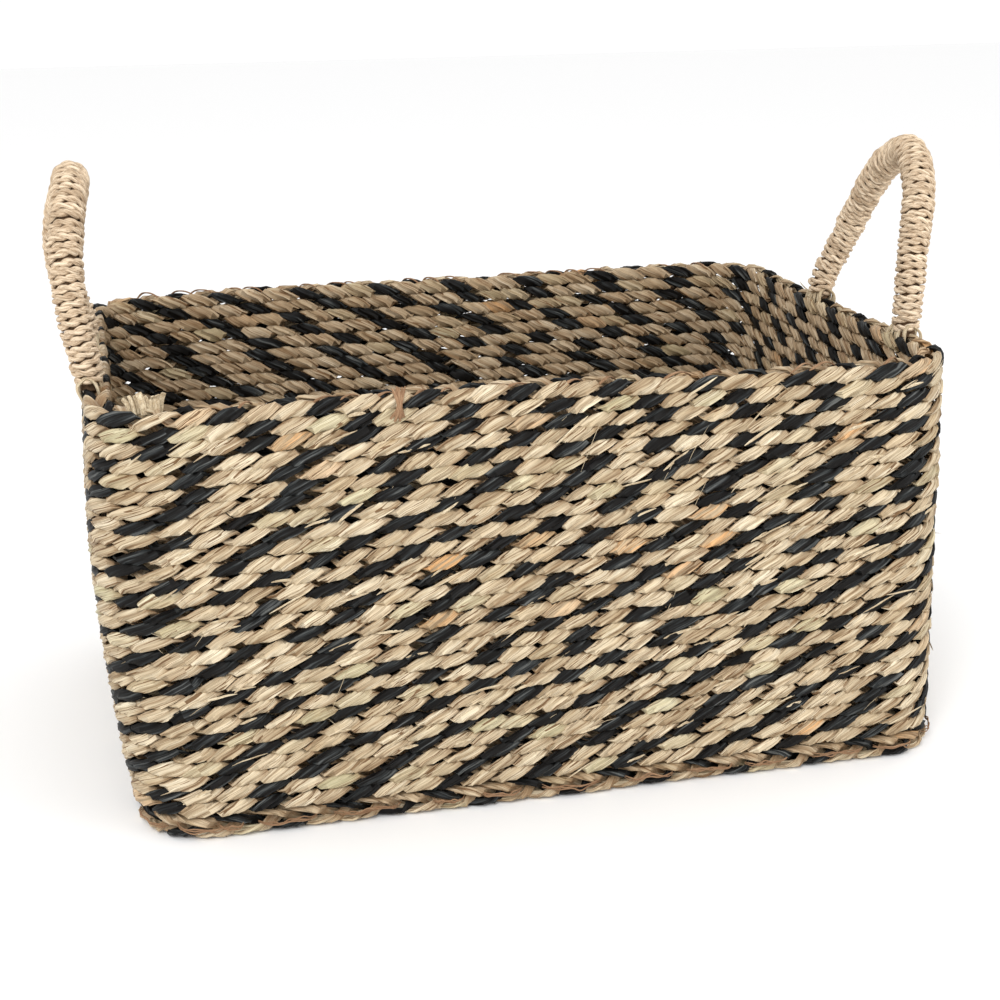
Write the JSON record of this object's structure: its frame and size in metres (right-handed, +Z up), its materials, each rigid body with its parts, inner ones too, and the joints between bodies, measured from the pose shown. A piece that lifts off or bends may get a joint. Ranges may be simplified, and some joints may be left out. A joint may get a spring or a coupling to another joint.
{
  "type": "seagrass storage basket",
  "caption": "Open rectangular storage basket wound from natural and black seagrass plait, with round corners and a wrapped rope handle on each short side.",
  "frame": {"origin": "middle of the base on the surface that the basket stands on", "axes": "+X along the long wall, +Y from the front wall to the rear wall, +Z up"},
  "size_m": [0.4373, 0.278, 0.2952],
  "materials": {
    "seagrass_plait": "dry matt seagrass leaf, two straw-beige strands and one blue-black dyed strand in a flat plait",
    "handle_twine": "matt pale beige twisted paper-like seagrass twine",
    "rope_core": "rough brown fibre rope",
    "stitching_raffia": "matt brown raffia twine"
  },
  "bodies": {
    "basket": {"base_turn_01": "seagrass_plait", "base_turn_02": "seagrass_plait", "base_turn_03": "seagrass_plait", "base_turn_04": "seagrass_plait", "base_turn_05": "seagrass_plait", "base_turn_06": "seagrass_plait", "base_turn_07": "seagrass_plait", "base_turn_08": "seagrass_plait", "base_turn_09": "seagrass_plait", "base_turn_10": "seagrass_plait", "base_turn_11": "seagrass_plait", "base_turn_12": "seagrass_plait", "base_turn_13": "seagrass_plait", "base_turn_14": "seagrass_plait", "base_turn_15": "seagrass_plait", "base_turn_16": "seagrass_plait", "base_turn_17": "seagrass_plait", "base_turn_18": "seagrass_plait", "base_centre_strip": "seagrass_plait", "wall_turn_01": "seagrass_plait", "wall_turn_02": "seagrass_plait", "wall_turn_03": "seagrass_plait", "wall_turn_04": "seagrass_plait", "wall_turn_05": "seagrass_plait", "wall_turn_06": "seagrass_plait", "wall_turn_07": "seagrass_plait", "wall_turn_08": "seagrass_plait", "wall_turn_09": "seagrass_plait", "wall_turn_10": "seagrass_plait", "wall_turn_11": "seagrass_plait", "wall_turn_12": "seagrass_plait", "wall_turn_13": "seagrass_plait", "wall_turn_14": "seagrass_plait", "wall_turn_15": "seagrass_plait", "wall_turn_16": "seagrass_plait", "wall_turn_17": "seagrass_plait", "wall_turn_18": "seagrass_plait", "wall_turn_19": "seagrass_plait", "wall_turn_20": "seagrass_plait", "wall_turn_21": "seagrass_plait", "wall_turn_22": "seagrass_plait", "wall_turn_23": "seagrass_plait", "wall_turn_24": "seagrass_plait", "wall_turn_25": "seagrass_plait", "wall_turn_26": "seagrass_plait", "wall_turn_27": "seagrass_plait", "wall_turn_28": "seagrass_plait", "left_front_lashing": "handle_twine", "left_rear_lashing": "handle_twine", "right_front_lashing": "handle_twine", "right_rear_lashing": "handle_twine", "front_rim_stitching": "stitching_raffia", "rear_rim_stitching": "stitching_raffia", "base_stitching": "stitching_raffia", "plait_end_tuft": "seagrass_plait"},
    "left_handle": {"left_handle_core": "rope_core", "left_handle_wrap": "handle_twine"},
    "right_handle": {"right_handle_core": "rope_core", "right_handle_wrap": "handle_twine"}
  },
  "joints": [
    {"name": "left_handle_tilt", "type": "hinge", "parent": "basket", "child": "left_handle", "pos_m": [-0.20625, -0.027, 0.21], "axis": [0, -1, 0], "range_deg": [-35, 30]},
    {"name": "right_handle_tilt", "type": "hinge", "parent": "basket", "child": "right_handle", "pos_m": [0.18775, -0.027, 0.21], "axis": [0, 1, 0], "range_deg": [-50, 15]}
  ]
}
